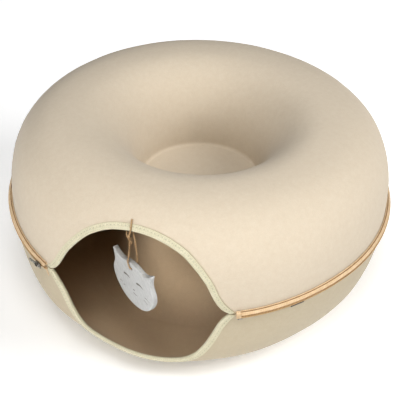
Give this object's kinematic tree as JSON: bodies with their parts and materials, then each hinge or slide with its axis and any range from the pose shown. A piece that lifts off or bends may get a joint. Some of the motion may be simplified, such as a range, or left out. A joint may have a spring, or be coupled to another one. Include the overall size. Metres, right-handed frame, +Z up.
{
  "type": "felt cat tunnel",
  "caption": "Ring-shaped felt pet tunnel with a sunken middle, a zip round its side, a bound almond-shaped mouth and a cat-head plate hung on twine.",
  "frame": {"origin": "on the floor, under the middle of the object's outline", "axes": "+Z up, mouth towards -Y"},
  "size_m": [0.6008, 0.5997, 0.276],
  "materials": {
    "felt": "warm beige moulded needle felt",
    "binding": "pale green woven bias tape",
    "zip_tape": "tan woven zip tape",
    "zip_coil": "brown nylon coil",
    "zip_metal": "dark gunmetal",
    "dark_strip": "dark brown strip",
    "plate": "whitewashed, faintly streaked",
    "twine": "jute twine"
  },
  "bodies": {
    "tunnel": {"upper_shell": "felt", "lower_shell": "felt", "mouth_binding_upper": "binding", "mouth_binding_lower": "binding", "zip_tape_upper": "zip_tape", "zip_coil": "zip_coil", "zip_tape_lower": "zip_tape", "zip_end_tab": "zip_tape", "zip_stop": "zip_metal", "zip_slider": "zip_metal", "zip_pull": "zip_metal", "side_tab": "dark_strip", "twine_wrap": "twine"},
    "hanging_plate": {"pendant": "plate", "twine_drop": "twine"}
  },
  "joints": [
    {"name": "pendant_swing", "type": "hinge", "parent": "tunnel", "child": "hanging_plate", "pos_m": [-0.00398, -0.26897, 0.2341], "axis": [0.829, -0.5592, 0], "range_deg": [-25, 25]}
  ]
}
